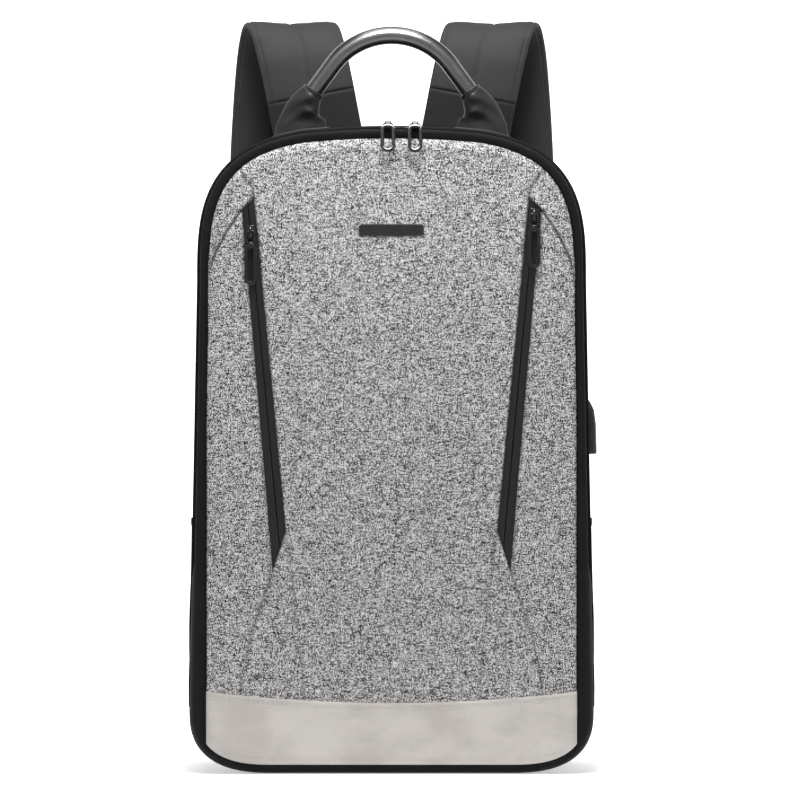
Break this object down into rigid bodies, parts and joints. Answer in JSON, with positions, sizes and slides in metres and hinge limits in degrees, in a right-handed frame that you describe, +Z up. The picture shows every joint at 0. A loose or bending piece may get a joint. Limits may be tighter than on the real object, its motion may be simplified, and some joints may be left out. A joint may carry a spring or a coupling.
{
  "type": "laptop backpack",
  "caption": "Slim laptop backpack with a fold-open zipped front, slanted front zip pockets, side pockets, a rigid tube handle, shoulder straps and a side charging port.",
  "frame": {"origin": "centre of the flat face of the base, midway between the front and back panels", "axes": "+Z up, +X to the right seen from the front, the front panel faces -Y"},
  "size_m": [0.2926, 0.1937, 0.5401],
  "materials": {
    "fabric_body": "black woven nylon",
    "fabric_front": "grey melange polyester weave",
    "leather_trim": "light grey nubuck imitation",
    "lining": "dark grey lining",
    "badge_metal": "plain blank plate",
    "zip_tape": "coated zip tape",
    "zip_coil": "nylon coil",
    "slider_metal": "gloss black die casting",
    "elastic_binding": "elastic binding",
    "port_plastic": "moulded black plastic",
    "socket_steel": "stamped socket shell",
    "tongue_plastic": "white moulded tongue",
    "handle_aluminium": "satin anodised tube",
    "handle_leather": "soft black leather imitation",
    "back_mesh": "padded spacer mesh",
    "strap_fabric": "smooth dark grey strap fabric",
    "strap_base_fabric": "black binding fabric",
    "webbing": "woven black webbing",
    "buckle_plastic": "moulded buckle"
  },
  "bodies": {
    "bag": {"back_panel": "back_mesh", "top_gusset": "fabric_body", "side_gusset_left": "fabric_body", "side_gusset_right": "fabric_body", "base_panel": "fabric_body", "front_lower_panel": "fabric_front", "front_lower_wall": "fabric_body", "leather_trim": "leather_trim", "main_zip_tape_rear": "zip_tape", "main_zip_coil_rear": "zip_coil", "side_pocket_left": "fabric_body", "side_pocket_right": "fabric_body", "pocket_binding_left": "elastic_binding", "pocket_binding_right": "elastic_binding", "port_housing": "port_plastic", "port_socket": "socket_steel", "port_tongue": "tongue_plastic", "handle_patch_left": "handle_leather", "handle_patch_right": "handle_leather", "laptop_divider": "lining", "laptop_hold_strap": "webbing", "back_pad_left": "back_mesh", "back_pad_right": "back_mesh", "strap_base_left": "strap_base_fabric", "strap_base_right": "strap_base_fabric", "strap_anchor_left": "strap_base_fabric", "strap_anchor_right": "strap_base_fabric"},
    "cover": {"front_cover_panel": "fabric_front", "front_cover_wall": "fabric_body", "pocket_lining": "lining", "pocket_rim": "lining", "pocket_seam": "lining", "badge_plate": "badge_metal", "main_zip_tape_front": "zip_tape", "main_zip_coil_front": "zip_coil", "pocket_zip_tape_left": "zip_tape", "pocket_zip_tape_right": "zip_tape", "pocket_zip_coil_left": "zip_coil", "pocket_zip_coil_right": "zip_coil"},
    "main_slider_left": {"main_slider_left": "slider_metal"},
    "main_slider_right": {"main_slider_right": "slider_metal"},
    "main_pull_left": {"main_pull_left": "slider_metal"},
    "main_pull_right": {"main_pull_right": "slider_metal"},
    "pocket_slider_left": {"pocket_slider_left": "slider_metal"},
    "pocket_slider_right": {"pocket_slider_right": "slider_metal"},
    "pocket_pull_left": {"pocket_pull_left": "slider_metal"},
    "pocket_pull_right": {"pocket_pull_right": "slider_metal"},
    "handle": {"handle_tube": "handle_aluminium", "handle_tab_left": "handle_leather", "handle_tab_right": "handle_leather"},
    "strap_left": {"shoulder_pad_left": "strap_fabric", "strap_webbing_left": "webbing", "ladder_lock_left": "buckle_plastic"},
    "strap_right": {"shoulder_pad_right": "strap_fabric", "strap_webbing_right": "webbing", "ladder_lock_right": "buckle_plastic"}
  },
  "joints": [
    {"name": "cover_fold", "type": "hinge", "parent": "bag", "child": "cover", "pos_m": [0, -0.065, 0.138], "axis": [1, 0, 0], "range_deg": [0, 70]},
    {"name": "handle_tilt", "type": "hinge", "parent": "bag", "child": "handle", "pos_m": [0, -0.012, 0.4632], "axis": [1, 0, 0], "range_deg": [-30, 45]},
    {"name": "main_slide_left", "type": "hinge", "parent": "bag", "child": "main_slider_left", "pos_m": [0, -0.055, -0.2005], "axis": [0, 1, 0], "range_deg": [-4.8, 0]},
    {"name": "main_slide_right", "type": "hinge", "parent": "bag", "child": "main_slider_right", "pos_m": [0, -0.055, -0.2005], "axis": [0, 1, 0], "range_deg": [0, 3.6]},
    {"name": "main_pull_swing_left", "type": "hinge", "parent": "main_slider_left", "child": "main_pull_left", "pos_m": [-0.0026, -0.055, 0.4623], "axis": [-1, 0, 0.0005], "range_deg": [0, 115]},
    {"name": "main_pull_swing_right", "type": "hinge", "parent": "main_slider_right", "child": "main_pull_right", "pos_m": [0.0167, -0.055, 0.4621], "axis": [-0.9998, 0, 0.0208], "range_deg": [0, 115]},
    {"name": "pocket_slide_left", "type": "slide", "parent": "cover", "child": "pocket_slider_left", "axis": [0.0914, 0, -0.9958], "range_m": [-0.011, 0.202]},
    {"name": "pocket_slide_right", "type": "slide", "parent": "cover", "child": "pocket_slider_right", "axis": [-0.0914, 0, -0.9958], "range_m": [0, 0.214]},
    {"name": "pocket_pull_swing_left", "type": "hinge", "parent": "pocket_slider_left", "child": "pocket_pull_left", "pos_m": [-0.09991, -0.06785, 0.385], "axis": [-1, 0, 0], "range_deg": [0, 150]},
    {"name": "pocket_pull_swing_right", "type": "hinge", "parent": "pocket_slider_right", "child": "pocket_pull_right", "pos_m": [0.10102, -0.06785, 0.397], "axis": [-1, 0, 0], "range_deg": [0, 150]},
    {"name": "strap_swing_left", "type": "hinge", "parent": "bag", "child": "strap_left", "pos_m": [-0.054, 0.07, 0.455], "axis": [0.1595, 0.0047, 0.9872], "range_deg": [-20, 20]},
    {"name": "strap_swing_right", "type": "hinge", "parent": "bag", "child": "strap_right", "pos_m": [0.054, 0.07, 0.455], "axis": [-0.1595, 0.0047, 0.9872], "range_deg": [-20, 20]}
  ]
}
